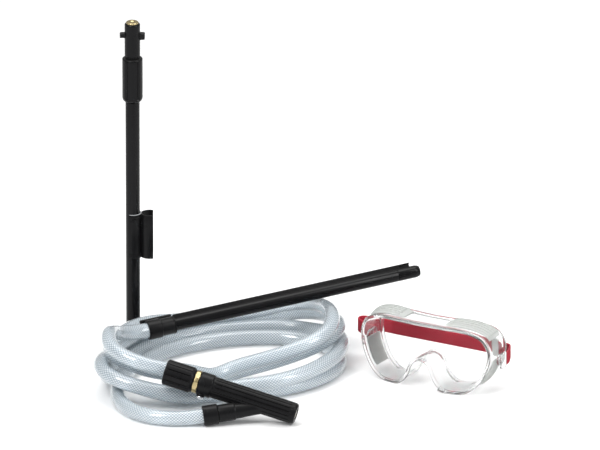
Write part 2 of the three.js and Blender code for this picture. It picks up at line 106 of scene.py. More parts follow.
def add_studio():
    world = bpy.data.worlds.new("studio")
    bpy.context.scene.world = world
    world.use_nodes = True
    world.node_tree.nodes["Background"].inputs["Color"].default_value = (1.0, 1.0, 1.0, 1)
    world.node_tree.nodes["Background"].inputs["Strength"].default_value = 0.52
    add_softbox("key", (-0.9, -1.3, 1.7), (0.7, 1.2), 36, (0.15, -0.1, 0.1))
    add_softbox("fill", (1.5, -0.9, 1.2), (0.5, 1.4), 17, (0.2, -0.1, 0.1))
    add_softbox("top", (0.2, 0.3, 2.0), (1.6, 1.2), 24, (0.2, -0.1, 0.0))
    bpy.context.scene.view_settings.view_transform = "Standard"


# ---- node building -------------------------------------------------------------------------
def feed(tree, socket, value):
    if isinstance(value, bpy.types.NodeSocket):
        tree.links.new(value, socket)
    else:
        socket.default_value = value


def add(tree, kind, inputs=(), **settings):
    node = tree.nodes.new(kind)
    for key, value in settings.items():
        setattr(node, key, value)
    for key, value in dict(inputs).items():
        feed(tree, node.inputs[key], value)
    return node


def math_node(tree, operation, a, b=0.0, c=0.0):
    return add(tree, "ShaderNodeMath", {0: a, 1: b, 2: c}, operation=operation).outputs[0]


def ranged(tree, value, low, high, to_low=0.0, to_high=1.0):
    sockets = {"Value": value, "From Min": low, "From Max": high, "To Min": to_low, "To Max": to_high}
    return add(tree, "ShaderNodeMapRange", sockets, clamp=True).outputs["Result"]


def blended(tree, factor, first, second):
    node = add(tree, "ShaderNodeMix", data_type="RGBA")
    feed(tree, node.inputs[0], factor)
    feed(tree, node.inputs[6], first)
    feed(tree, node.inputs[7], second)
    return node.outputs[2]


def new_group(name, inputs, outputs):
    tree = bpy.data.node_groups.new(name, "ShaderNodeTree")
    for label, kind, default in inputs:
        socket = tree.interface.new_socket(name=label, in_out="INPUT", socket_type=kind)
        if default is not None:
            socket.default_value = default
    for label in outputs:
        tree.interface.new_socket(name=label, in_out="OUTPUT", socket_type="NodeSocketFloat")
    entry = tree.nodes.new("NodeGroupInput")
    leave = tree.nodes.new("NodeGroupOutput")
    return tree, entry.outputs, leave.inputs


FLOAT, VECTOR = "NodeSocketFloat", "NodeSocketVector"


# Fine moulding grain: a height for bump and a slow mottle for gloss.
def make_grain():
    tree, given, out = new_group("moulding grain", [("Place", VECTOR, None), ("Scale", FLOAT, 1800.0)],
                                 ["Height", "Mottle"])
    fine = add(tree, "ShaderNodeTexNoise", {"Vector": given["Place"], "Scale": given["Scale"], "Detail": 3.0})
    slow = add(tree, "ShaderNodeTexNoise", {"Vector": given["Place"], "Scale": 42.0, "Detail": 4.0})
    feed(tree, out["Height"], fine.outputs["Fac"])
    feed(tree, out["Mottle"], slow.outputs["Fac"])
    return tree


# Marks of handling: thin rubbed streaks and a little settled dust, as a mask.
def make_scuffs():
    tree, given, out = new_group("handling scuffs", [("Place", VECTOR, None), ("Scale", FLOAT, 60.0),
                                                     ("Reach", FLOAT, 0.62)], ["Scuff", "Dust"])
    patch = add(tree, "ShaderNodeTexNoise", {"Vector": given["Place"], "Scale": given["Scale"], "Detail": 8.0,
                                             "Roughness": 0.72, "Distortion": 0.8})
    feed(tree, out["Scuff"], ranged(tree, patch.outputs["Fac"], given["Reach"],
                                    math_node(tree, "ADD", given["Reach"], 0.12)))
    facing = add(tree, "ShaderNodeNewGeometry").outputs["Normal"]
    upward = add(tree, "ShaderNodeSeparateXYZ", {"Vector": facing}).outputs["Z"]
    specks = add(tree, "ShaderNodeTexNoise", {"Vector": given["Place"], "Scale": 900.0, "Detail": 2.0})
    settled = math_node(tree, "MULTIPLY", ranged(tree, upward, 0.5, 1.0), specks.outputs["Fac"])
    feed(tree, out["Dust"], settled)
    return tree


# Two sets of yarns wound either way round a hose; `Around` runs 0 to 1, `Along` is in metres.
def make_braid():
    tree, given, out = new_group("wound braid", [("Around", FLOAT, 0.0), ("Along", FLOAT, 0.0),
                                                 ("Yarns", FLOAT, 16.0), ("Lead", FLOAT, 0.05)], ["Yarn", "Cross"])
    turns = math_node(tree, "DIVIDE", given["Along"], given["Lead"])
    sets = []
    for sign in (1, -1):
        wound = math_node(tree, "MULTIPLY_ADD", turns, float(sign), given["Around"])
        wave = math_node(tree, "SINE", math_node(tree, "MULTIPLY", wound,
                                                 math_node(tree, "MULTIPLY", given["Yarns"], 2 * math.pi)))
        sets.append(ranged(tree, wave, 0.2, 0.85))
    feed(tree, out["Yarn"], math_node(tree, "MAXIMUM", sets[0], sets[1]))
    feed(tree, out["Cross"], math_node(tree, "MULTIPLY", sets[0], sets[1]))
    return tree


GRAIN = make_grain()
SCUFFS = make_scuffs()
BRAID = make_braid()


def new_material(name):
    material = bpy.data.materials.new(name)
    material.use_nodes = True
    tree = material.node_tree
    shader = tree.nodes["Principled BSDF"]
    return material, tree, shader


def use(tree, group, **inputs):
    node = tree.nodes.new("ShaderNodeGroup")
    node.node_tree = group
    for key, value in inputs.items():
        feed(tree, node.inputs[key], value)
    return node.outputs


def bumped(tree, shader, height, distance, strength=1.0):
    bump = add(tree, "ShaderNodeBump", {"Height": height, "Distance": distance, "Strength": strength})
    feed(tree, shader.inputs["Normal"], bump.outputs["Normal"])


def object_place(tree):
    return add(tree, "ShaderNodeTexCoord").outputs["Object"]


# Black moulded plastic and rubber: grain, uneven gloss, light scuffs and dust.
def moulded(name, colour, scuffed, roughness, grain_depth, coat=0.0):
    material, tree, shader = new_material(name)
    where = object_place(tree)
    grain = use(tree, GRAIN, Place=where, Scale=1600.0)
    marks = use(tree, SCUFFS, Place=where, Scale=55.0)
    worn = blended(tree, math_node(tree, "MULTIPLY", marks["Scuff"], 0.55), colour, scuffed)
    dusty = blended(tree, math_node(tree, "MULTIPLY", marks["Dust"], 0.05), worn, (0.30, 0.29, 0.27, 1))
    feed(tree, shader.inputs["Base Color"], dusty)
    gloss = ranged(tree, grain["Mottle"], 0.3, 0.7, roughness - 0.06, roughness + 0.08)
    feed(tree, shader.inputs["Roughness"], math_node(tree, "MULTIPLY_ADD", marks["Scuff"], 0.14, gloss))
    shader.inputs["Specular IOR Level"].default_value = 0.10
    shader.inputs["Coat Weight"].default_value = coat
    shader.inputs["Coat Roughness"].default_value = 0.12
    bumped(tree, shader, grain["Height"], grain_depth)
    return material


# Bare metal, a little tarnished and scratched.
def metal(name, bright, dull, roughness):
    material, tree, shader = new_material(name)
    where = object_place(tree)
    grain = use(tree, GRAIN, Place=where, Scale=2600.0)
    marks = use(tree, SCUFFS, Place=where, Scale=140.0, Reach=0.52)
    feed(tree, shader.inputs["Base Color"], blended(tree, grain["Mottle"], bright, dull))
    shader.inputs["Metallic"].default_value = 1.0
    gloss = ranged(tree, marks["Scuff"], 0.0, 1.0, roughness, roughness + 0.22)
    feed(tree, shader.inputs["Roughness"], gloss)
    bumped(tree, shader, grain["Height"], 0.00002)
    return material


def ceramic_material():
    material, tree, shader = new_material("fired_ceramic")
    where = object_place(tree)
    grain = use(tree, GRAIN, Place=where, Scale=3000.0)
    colour = blended(tree, grain["Mottle"], (0.7, 0.66, 0.58, 1), (0.6, 0.55, 0.47, 1))
    feed(tree, shader.inputs["Base Color"], colour)
    shader.inputs["Roughness"].default_value = 0.4
    bumped(tree, shader, grain["Height"], 0.00001)
    return material


# Clear braided hose: milky wall, yarns buried under the surface, glossy skin.
def hose_material():
    material, tree, shader = new_material("clear_braided_pvc")
    uv = add(tree, "ShaderNodeUVMap", uv_map="wound")
    split = add(tree, "ShaderNodeSeparateXYZ", {"Vector": uv.outputs["UV"]})
    yarn = use(tree, BRAID, Around=split.outputs["X"], Along=split.outputs["Y"], Yarns=16.0, Lead=0.058)
    grain = use(tree, GRAIN, Place=object_place(tree), Scale=700.0)
    wall = blended(tree, grain["Mottle"], (0.86, 0.92, 0.95, 1), (0.93, 0.96, 0.97, 1))
    threads = blended(tree, yarn["Yarn"], wall, (0.40, 0.48, 0.54, 1))
    crossed = blended(tree, yarn["Cross"], threads, (0.26, 0.33, 0.39, 1))
    feed(tree, shader.inputs["Base Color"], crossed)
    feed(tree, shader.inputs["Roughness"], ranged(tree, grain["Mottle"], 0.3, 0.7, 0.10, 0.18))
    shader.inputs["Transmission Weight"].default_value = 0.55
    shader.inputs["IOR"].default_value = 1.35
    shader.inputs["Coat Weight"].default_value = 0.9
    shader.inputs["Coat Roughness"].default_value = 0.05
    bumped(tree, shader, yarn["Yarn"], 0.00012, 0.6)
    return material


# Clear plastics: the soft skirt is a little milky, the window is clear.
def clear_material(name, tint, shade, roughness, through, grain_depth, bend):
    material, tree, shader = new_material(name)
    grain = use(tree, GRAIN, Place=object_place(tree), Scale=500.0)
    feed(tree, shader.inputs["Base Color"], blended(tree, grain["Mottle"], tint, shade))
    feed(tree, shader.inputs["Roughness"], ranged(tree, grain["Mottle"], 0.3, 0.7, roughness, roughness + 0.06))
    shader.inputs["Transmission Weight"].default_value = through
    shader.inputs["IOR"].default_value = bend
    bumped(tree, shader, grain["Height"], grain_depth)
    return material


# Woven elastic: ribs across the band and a twill along it, from the band's own map in metres.
def webbing_material():
    material, tree, shader = new_material("woven_red_elastic")
    uv = add(tree, "ShaderNodeUVMap", uv_map="wound")
    split = add(tree, "ShaderNodeSeparateXYZ", {"Vector": uv.outputs["UV"]})
    weave = use(tree, BRAID, Around=math_node(tree, "MULTIPLY", split.outputs["X"], 55.0),
                Along=split.outputs["Y"], Yarns=9.0, Lead=0.022)
    grain = use(tree, GRAIN, Place=object_place(tree), Scale=1500.0)
    base = blended(tree, grain["Mottle"], (0.27, 0.003, 0.014, 1), (0.37, 0.006, 0.025, 1))
    lit = blended(tree, weave["Yarn"], base, (0.46, 0.012, 0.036, 1))
    feed(tree, shader.inputs["Base Color"], lit)
    feed(tree, shader.inputs["Roughness"], ranged(tree, weave["Yarn"], 0.0, 1.0, 0.9, 0.65))
    shader.inputs["Sheen Weight"].default_value = 0.06
    shader.inputs["Sheen Roughness"].default_value = 0.4
    bumped(tree, shader, math_node(tree, "ADD", weave["Yarn"], grain["Height"]), 0.00025)
    return material


def floor_material():
    material, tree, shader = new_material("pale_floor")
    noise = add(tree, "ShaderNodeTexNoise", {"Vector": object_place(tree), "Scale": 3.0})
    pale = blended(tree, noise.outputs["Fac"], (0.90, 0.90, 0.90, 1), (0.92, 0.92, 0.92, 1))
    feed(tree, shader.inputs["Base Color"], pale)
    shader.inputs["Roughness"].default_value = 0.85
    return material


BLACK = moulded("satin_black_plastic", (0.005, 0.005, 0.0055, 1), (0.012, 0.012, 0.013, 1), 0.30, 0.00002, 0.04)
RUBBER = moulded("matt_black_rubber", (0.006, 0.006, 0.006, 1), (0.018, 0.018, 0.018, 1), 0.7, 0.00006)
SMOOTH_BLACK = moulded("smooth_black_plastic", (0.004, 0.004, 0.0045, 1), (0.010, 0.010, 0.011, 1), 0.20, 0.00001,
                       0.08)
# Pale grey for thin rims on black parts: a painted highlight along their edges.
PAINTED_RIM_HIGHLIGHT = moulded("painted_rim_highlight_grey", (0.30, 0.31, 0.32, 1), (0.4, 0.4, 0.4, 1), 0.4, 0.00003)
BRASS = metal("turned_brass", (0.52, 0.43, 0.24, 1), (0.34, 0.27, 0.13, 1), 0.27)
STEEL = metal("bright_zinc_steel", (0.86, 0.87, 0.88, 1), (0.66, 0.67, 0.69, 1), 0.14)
CERAMIC = ceramic_material()
PVC_HOSE = hose_material()
SOFT_CLEAR = clear_material("soft_clear_pvc", (0.94, 0.96, 0.96, 1), (0.98, 0.98, 0.98, 1), 0.05, 0.96, 0.00002,
                            1.2)
LENS_CLEAR = clear_material("clear_lens", (0.985, 0.99, 0.99, 1), (0.99, 0.995, 0.995, 1), 0.01, 1.0, 0.000002,
                            1.12)
VENT_CLEAR = clear_material("frosted_vent_pvc", (0.62, 0.64, 0.62, 1), (0.78, 0.80, 0.78, 1), 0.3, 0.5, 0.0001,
                            1.25)
WEBBING = webbing_material()


# ---- shaping -------------------------------------------------------------------------------
def along(start, end, lean):
    """A frame in millimetres whose Z runs from start to end and whose X leans towards `lean`."""
    start, end = Vector(start), Vector(end)
    z = (end - start).normalized()
    y = z.cross(Vector(lean)).normalized()
    x = y.cross(z)
    return Matrix.Translation(start) @ Matrix((x, y, z)).transposed().to_4x4()


def moved(points, how):
    grid = np.asarray(points, float).reshape(-1, 3)
    turn = np.array(how)
    return grid @ turn[:3, :3].T + turn[:3, 3]


def eased(profile, size, steps=3):
    """The same outline with every corner rounded by up to `size`."""
    points = [Vector(p) for p in profile]
    loop = points[0] == points[-1]
    ring = points[:-1] if loop else points
    out = []
    for i, here in enumerate(ring):
        if not loop and i in (0, len(ring) - 1):
            out.append(here)
            continue
        before, after = ring[i - 1], ring[(i + 1) % len(ring)]
        reach = min(size, (before - here).length * 0.45, (after - here).length * 0.45)
        start = here + (before - here).normalized() * reach
        end = here + (after - here).normalized() * reach
        for k in range(steps + 1):
            t = k / steps
            out.append(start * (1 - t) ** 2 + here * 2 * t * (1 - t) + end * t * t)
    if loop:
        out.append(out[0])
    return [(p.x, p.y) for p in out]


def finely(profile, step):
    """Extra points along the long stretches of a profile, so that relief has something to bend."""
    out = [profile[0]]
    for (r0, z0), (r1, z1) in zip(profile, profile[1:]):
        count = max(1, int(math.hypot(r1 - r0, z1 - z0) / step))
        out += [(r0 + (r1 - r0) * k / count, z0 + (z1 - z0) * k / count) for k in range(1, count + 1)]
    return out


def band(a, b, sides):
    """Quads from the ring that starts at point a to the one that starts at b."""
    return [(a + k, b + k, b + (k + 1) % sides, a + (k + 1) % sides) for k in range(sides)]


def fan(first, rings, sides):
    """A disc of faces round the point `first`, over rings that follow it."""
    faces = []
    for k in range(sides):
        m = (k + 1) % sides
        faces.append((first, first + 1 + k, first + 1 + m))
        for i in range(rings - 1):
            a = first + 1 + i * sides
            faces.append((a + k, a + sides + k, a + sides + m, a + m))
    return faces


class Blank:
    """Closed shells gathered into one piece."""

    def __init__(self):
        self.points, self.faces, self.count = [], [], 0

    def shell(self, points, faces):
        points = np.asarray(points, float).reshape(-1, 3)
        self.points.append(points)
        for face in faces:
            self.faces.append([i + self.count for i in face])
        self.count += len(points)
        return self

    def turned(self, profile, how=Matrix(), sides=72, relief=None):
        loop = profile[0] == profile[-1]
        rows = profile[:-1] if loop else profile
        angles = 2 * math.pi * np.arange(sides) / sides
        points, starts = [], []
        for r, z in rows:
            starts.append(len(points))
            if r < 1e-6:
                points.append((0, 0, z))
                continue
            for a in angles:
                reach = relief(a, z, r) if relief else r
                points.append((reach * math.cos(a), reach * math.sin(a), z))
        faces = []
        pairs = list(zip(range(len(rows)), range(1, len(rows)))) + ([(len(rows) - 1, 0)] if loop else [])
        for i, j in pairs:
            tip_i, tip_j = rows[i][0] < 1e-6, rows[j][0] < 1e-6
            for k in range(sides):
                m = (k + 1) % sides
                if tip_i and tip_j:
                    continue
                if tip_i:
                    faces.append((starts[i], starts[j] + k, starts[j] + m))
                elif tip_j:
                    faces.append((starts[i] + k, starts[j], starts[i] + m))
                else:
                    faces.append((starts[i] + k, starts[j] + k, starts[j] + m, starts[i] + m))
        return self.shell(moved(points, how), faces)

    def rings(self, rings, how=Matrix(), closed=False):
        """Rings of points with the same count, skinned; the ends are capped unless `closed`."""
        count = len(rings[0])
        faces = []
        last = len(rings) if closed else len(rings) - 1
        for r in range(last):
            n = (r + 1) % len(rings)
            for k in range(count):
                m = (k + 1) % count
                faces.append((r * count + k, r * count + m, n * count + m, n * count + k))
        if not closed:
            faces.append(tuple(range(count)))
            faces.append(tuple((len(rings) - 1) * count + k for k in reversed(range(count))))
        return self.shell(moved([p for ring in rings for p in ring], how), faces)

    def prism(self, outline, low, high, how=Matrix(), ease=0.4, steps=2):
        """An outline (x, y) raised from low to high, with its rims rounded inwards."""
        flat = np.asarray(outline, float)
        rings = []
        for k in range(steps + 1):
            angle = k / steps * math.pi / 2
            rings.append((low + ease * (1 - math.cos(angle)), ease * (1 - math.sin(angle))))
        tops = [(high - (z - low), d) for z, d in reversed(rings)]
        before = np.roll(flat, 1, 0)
        after = np.roll(flat, -1, 0)
        run = after - before
        normal = np.stack([run[:, 1], -run[:, 0]], 1)
        normal /= np.linalg.norm(normal, axis=1)[:, None]
        area = np.sum(flat[:, 0] * after[:, 1] - after[:, 0] * flat[:, 1])
        normal *= math.copysign(1, area)
        levels = []
        for z, depth in rings + tops:
            level = flat - normal * depth
            levels.append([(x, y, z) for x, y in level])
        return self.rings(levels, how)

    def finish(self, name, material, body, replaces=(), slot=None, sharp=35):
        mesh = bpy.data.meshes.new(name)
        spots = np.concatenate(self.points) * MM + np.array(HOME)
        mesh.from_pydata(spots.tolist(), [], self.faces)
        mesh.update()
        work = bmesh.new()
        work.from_mesh(mesh)
        bmesh.ops.recalc_face_normals(work, faces=work.faces)
        work.to_mesh(mesh)
        work.free()
        return settle(name, mesh, material, body, replaces, sharp)


def settle(name, mesh, material, body, replaces=(), sharp=35):
    """Links a finished mesh, gives it its finish and fixes it to its body."""
    mesh.shade_smooth()
    mesh.set_sharp_from_angle(angle=math.radians(sharp))
    mesh.materials.clear()
    mesh.materials.append(material)
    piece = bpy.data.objects.new(name, mesh)
    bpy.context.scene.collection.objects.link(piece)
    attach(piece, body)
    if replaces:
        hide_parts(*replaces)
    return piece


# ---- suction hose --------------------------------------------------------------------------
# Each turn in plan: left bend, back, right bend, middle of the front, front by the head.
TURNS = [
    ((-17, -197), (150, -26), (234, -100), (112, -199), (52, -217)),
    ((-30, -179), (160, 7), (236, -89), (118, -210), (52, -232)),
    ((-36, -194), (168, 38), (232, -83), (110, -143), (36, -202)),
    ((-27, -164), (175, 16), (225, -106), (112, -162), (40, -221)),
]
FROM_HEAD = [(82.6, -275.9), (79.6, -276.2), (66, -278), (44, -277.5)]
LAST_BEND = (-27, -183)
TO_LANCE = [(-27, -165), (-22, -136), (-9, -113), (3, -103.5), (16.5, -98.4), (19.3, -97.4)]
FULLNESS = {"FL": 2.1, "LB": 2.0, "BR": 2.1, "RM": 1.9}


def quarter(start, end, leaves_sideways, fullness, count=10):
    """A quarter of a full oval from one side of a turn to the next."""
    corner = (end[0], start[1]) if leaves_sideways else (start[0], end[1])
    out = []
    for i in range(count):
        angle = i / count * math.pi / 2
        g = math.sin(angle) ** (2 / fullness)
        h = 1 - math.cos(angle) ** (2 / fullness)
        out.append([start[k] + (corner[k] - start[k]) * g + (end[k] - corner[k]) * h for k in (0, 1)])
    return out


def evenly(line, step):
    line = np.asarray(line, float)
    run = np.concatenate([[0], np.cumsum(np.linalg.norm(np.diff(line, axis=0), axis=1))])
    marks = np.arange(0, run[-1], step)
    return np.stack([np.interp(marks, run, line[:, k]) for k in range(line.shape[1])], 1)


def softened(line, passes):
    line = line.copy()
    for _ in range(passes):
        line[1:-1] = (line[:-2] + 2 * line[1:-1] + line[2:]) / 4
    return line


def hose_plan(step):
    line = [list(p) for p in FROM_HEAD[:-1]]
    stops = [("F", FROM_HEAD[-1])]
    for turn in TURNS:
        stops += list(zip("LBRMF", turn))
    stops.append(("L", LAST_BEND))
    for (kind, start), (next_kind, end) in zip(stops, stops[1:]):
        if kind + next_kind == "MF":
            line += [[start[k] + (end[k] - start[k]) * i / 4 for k in (0, 1)] for i in range(4)]
        else:
            line += quarter(start, end, kind in "FB", FULLNESS[kind + next_kind])
    line += [list(LAST_BEND)] + [list(p) for p in TO_LANCE]
    return softened(evenly(line, step), 24)


def laid_down(plan, step):
    """Heights of a hose dropped turn upon turn: each stretch rests on the ones laid before it."""
    thick = 2 * HOSE["r"]
    slope, spread, skip = 0.22, int(110 / step), int(60 / step)
    count = len(plan)
    height = np.full(count, HOSE["r"])
    for i in range(count):
        rest = HOSE["r"]
        if i > skip:
            apart = np.hypot(*(plan[:i - skip] - plan[i]).T)
            near = apart < thick * 0.98
            if near.any():
                rest = max(rest, (height[:i - skip][near] + np.sqrt(thick ** 2 - apart[near] ** 2)).max())
        low = max(0, i - spread)
        back = np.arange(low, i + 1)
        height[low:i + 1] = np.maximum(height[low:i + 1], rest - slope * step * (i - back))
        height[i] = max(height[i], rest, height[i - 1] - slope * step if i else 0)
    for _ in range(18):
        height[1:-1] = (height[:-2] + 2 * height[1:-1] + height[2:]) / 4
        height = np.maximum(height, HOSE["r"])
    return height


def hose_route():
    step = 4.0
    plan = hose_plan(step)
    height = laid_down(plan, step)
    run = np.arange(len(plan)) * step
    start_share = np.clip(1 - run / HOSE["head_reach"], 0, 1)
    height += start_share * (HOSE["head_height"] - height)
    left = (len(plan) - 1 - np.arange(len(plan))) * step
    end_share = np.clip(1 - left / HOSE["lance_reach"], 0, 1)
    end_share = end_share ** 2 * (3 - 2 * end_share)
    height += end_share * (HOSE["lance_height"] - height)
    route = np.column_stack([plan, height])
    return evenly(softened(route, 2), HOSE["step"])


def tube_along(route, r, sides):
    """Rings of points round a route, carried along it without twist."""
    way = np.gradient(route, axis=0)
    way /= np.linalg.norm(way, axis=1)[:, None]
    side = np.cross(way[0], (0, 0, 1.0))
    side /= np.linalg.norm(side)
    angles = 2 * math.pi * np.arange(sides) / sides
    points = []
    for at, ahead in zip(route, way):
        side = side - ahead * np.dot(side, ahead)
        side /= np.linalg.norm(side)
        up = np.cross(ahead, side)
        points.append(at + r * (np.cos(angles)[:, None] * side + np.sin(angles)[:, None] * up))
    return np.concatenate(points)


def run_of(route):
    return np.concatenate([[0], np.cumsum(np.linalg.norm(np.diff(route, axis=0), axis=1))]) * MM


def mapped_skin(name, points, across, run):
    """Rings skinned and capped, with a map: `across` round each ring and `run`, in metres, along them."""
    sides, count = len(across) - 1, len(run)
    faces, map_points = [], []
    for r in range(count - 1):
        for k in range(sides):
            m = (k + 1) % sides
            faces.append((r * sides + k, r * sides + m, (r + 1) * sides + m, (r + 1) * sides + k))
            a, b = across[k], across[k + 1]
            map_points += [(a, run[r]), (b, run[r]), (b, run[r + 1]), (a, run[r + 1])]
    faces.append(tuple(reversed(range(sides))))
    faces.append(tuple((count - 1) * sides + k for k in range(sides)))
    map_points += [(0.0, 0.0)] * (2 * sides)
    mesh = bpy.data.meshes.new(name)
    mesh.from_pydata((np.asarray(points) * MM + np.array(HOME)).tolist(), [], faces)
    layer = mesh.uv_layers.new(name="wound")
    layer.data.foreach_set("uv", np.array(map_points, float).ravel())
    return mesh


def add_hose():
    route = hose_route()
    sides = HOSE["sides"]
    points = tube_along(route, HOSE["r"], sides)
    run = run_of(route)
    mesh = mapped_skin("suction_hose", points, np.arange(sides + 1) / sides, run)
    hose = settle("suction_hose", mesh, PVC_HOSE, "hose_and_head",
                  ("suction_hose_coil", "suction_hose_head_run", "suction_hose_lance_run"), 60)


# ---- what repeats: thread, studs and ribs, grown by geometry nodes ---------------------------
def new_growth(name, inputs):
    tree = bpy.data.node_groups.new(name, "GeometryNodeTree")
    tree.interface.new_socket(name="Geometry", in_out="INPUT", socket_type="NodeSocketGeometry")
    for label, kind, default in inputs:
        socket = tree.interface.new_socket(name=label, in_out="INPUT", socket_type=kind)
        socket.default_value = default
    finish_in = tree.interface.new_socket(name="Finish", in_out="INPUT", socket_type="NodeSocketMaterial")
    finish_in.default_value = None
    tree.interface.new_socket(name="Geometry", in_out="OUTPUT", socket_type="NodeSocketGeometry")
    return tree, tree.nodes.new("NodeGroupInput").outputs, tree.nodes.new("NodeGroupOutput").inputs


def close_growth(tree, given, out, geometry):
    real = add(tree, "GeometryNodeRealizeInstances", {"Geometry": geometry})
    painted = add(tree, "GeometryNodeSetMaterial", {"Geometry": real.outputs[0], "Material": given["Finish"]})
    feed(tree, out["Geometry"], painted.outputs[0])
    return tree


COUNT = "NodeSocketInt"


# A screw thread: a small round section swept up a spiral.
def make_thread():
    tree, given, out = new_growth("screw_thread", [("Radius", FLOAT, 0.01), ("Turns", FLOAT, 5.0),
                                                   ("Height", FLOAT, 0.01), ("Section", FLOAT, 0.0006)])
    spiral = add(tree, "GeometryNodeCurveSpiral", {"Resolution": 48, "Rotations": given["Turns"],
                                                   "Start Radius": given["Radius"],
                                                   "End Radius": given["Radius"], "Height": given["Height"]})
    section = add(tree, "GeometryNodeCurvePrimitiveCircle", {"Resolution": 8, "Radius": given["Section"]})
    swept = add(tree, "GeometryNodeCurveToMesh", {"Curve": spiral.outputs[0], "Profile Curve": section.outputs[0],
                                                  "Fill Caps": True})
    return close_growth(tree, given, out, swept.outputs[0])


# Small round studs on every point of a patch.
def make_studs():
    tree, given, out = new_growth("moulded_studs", [("Size", FLOAT, 0.0006), ("Rounds", COUNT, 1)])
    stud = add(tree, "GeometryNodeMeshIcoSphere", {"Radius": given["Size"], "Subdivisions": given["Rounds"]})
    spread = add(tree, "GeometryNodeInstanceOnPoints", {"Points": given["Geometry"], "Instance": stud.outputs[0]})
    return close_growth(tree, given, out, spread.outputs[0])


# Upright ribs at an even pitch along a line.
def make_ribs():
    tree, given, out = new_growth("upright_ribs", [("Pitch", FLOAT, 0.0012), ("Radius", FLOAT, 0.0004),
                                                   ("Height", FLOAT, 0.017)])
    line = add(tree, "GeometryNodeMeshToCurve", {"Mesh": given["Geometry"]})
    spaced = add(tree, "GeometryNodeResampleCurve", {"Curve": line.outputs[0]}, mode="LENGTH")
    feed(tree, spaced.inputs["Length"], given["Pitch"])
    rib = add(tree, "GeometryNodeMeshCylinder",
              {"Vertices": 8, "Radius": given["Radius"], "Depth": given["Height"]})
    spread = add(tree, "GeometryNodeInstanceOnPoints",
                 {"Points": spaced.outputs[0], "Instance": rib.outputs["Mesh"]})
    return close_growth(tree, given, out, spread.outputs[0])


THREAD = make_thread()
STUDS = make_studs()
RIBS = make_ribs()


def grown(tree, name, host_points, host_edges, material, values, how=None):
    """Runs a growth on a bare patch of points in metres and hands back the plain mesh."""
    host_mesh = bpy.data.meshes.new(name + "_host")
    host_mesh.from_pydata([tuple(p) for p in host_points], host_edges, [])
    host = bpy.data.objects.new(name + "_host", host_mesh)
    bpy.context.scene.collection.objects.link(host)
    growth = host.modifiers.new("growth", "NODES")
    growth.node_group = tree
    names = {item.name: item.identifier for item in tree.interface.items_tree if item.in_out == "INPUT"}
    for label, value in {**values, "Finish": material}.items():
        growth[names[label]] = value
    view = bpy.context.evaluated_depsgraph_get()
    mesh = bpy.data.meshes.new_from_object(host.evaluated_get(view))
    mesh.name = name
    bpy.data.objects.remove(host)
    if how is not None:
        mesh.transform(Matrix.Translation(HOME) @ Matrix.Scale(MM, 4) @ how @ Matrix.Scale(1 / MM, 4))
    return mesh


def add_thread(name, how, radius, height, turns, section, material, body):
    values = {"Radius": radius * MM, "Height": height * MM, "Turns": float(turns), "Section": section * MM}
    mesh = grown(THREAD, name, [(0, 0, 0)], [], material, values, how)
    return settle(name, mesh, material, body)


# ---- lance pole ------------------------------------------------------------------------------
def smooth_step(low, high, value):
    t = min(max((value - low) / (high - low), 0.0), 1.0)
    return t * t * (3 - 2 * t)


def fluted(count, depth, share, from_z, to_z, above):
    """Grooves that run out smoothly at both ends, cut only where the piece is wider than `above`."""
    edge = math.cos(math.pi * share)

    def relief(angle, z, r):
        if r < above:
            return r
        groove = smooth_step(edge, 1.0, math.cos(count * angle))
        fade = smooth_step(from_z, from_z + 3, z) * (1 - smooth_step(to_z - 3, to_z, z))
        return r - depth * groove * fade
    return relief


def hexagonal(flat, above):
    def relief(angle, z, r):
        if r < above:
            return r
        off = (angle % (math.pi / 3)) - math.pi / 6
        return min(r, flat / math.cos(off))
    return relief


def collar_relief(angle, z, r):
    """A long hollow at the front and the back, between two side wings, rounded below."""
    if r < POLE["tube_r"] + 1:
        return r
    off = abs((angle % math.pi) - math.pi / 2)
    top, bottom, corner = POLE["collar_to"] - 2.2, POLE["collar_from"] + 2.2, 4.0
    across = off * POLE["collar_r"]
    over = max(bottom + corner - z, 0)
    edge = 8.6 - (corner - math.sqrt(max(corner ** 2 - over ** 2, 0)))
    inside = (1 - smooth_step(edge - 0.5, edge + 0.5, across)) * (1 - smooth_step(top - 0.4, top + 0.4, z))
    return r - (r - min(r, 9.1)) * inside * smooth_step(bottom - 0.4, bottom + 0.4, z)


def spigot_relief(angle, z, r):
    """Two ears, ramped on one flank so that they turn home."""
    if r < POLE["spigot_bore"] + 1.5:
        return r
    off = (angle + math.pi / 2) % math.pi - math.pi / 2
    half = math.radians(20)
    ear = smooth_step(-half - 0.05, -half + 0.03, off) * (1 - smooth_step(half - 0.03, half + 0.05, off))
    ramp = (off + half) / (2 * half)
    low = POLE["ear_z"] + 0.6 + 2.4 * ramp
    high = POLE["ear_z"] + POLE["ear_height"] - 0.9
    tall = smooth_step(low - 0.35, low + 0.35, z) * (1 - smooth_step(high - 0.35, high + 0.35, z))
    return r + (POLE["ear_reach"] - POLE["spigot_r"]) * ear * tall


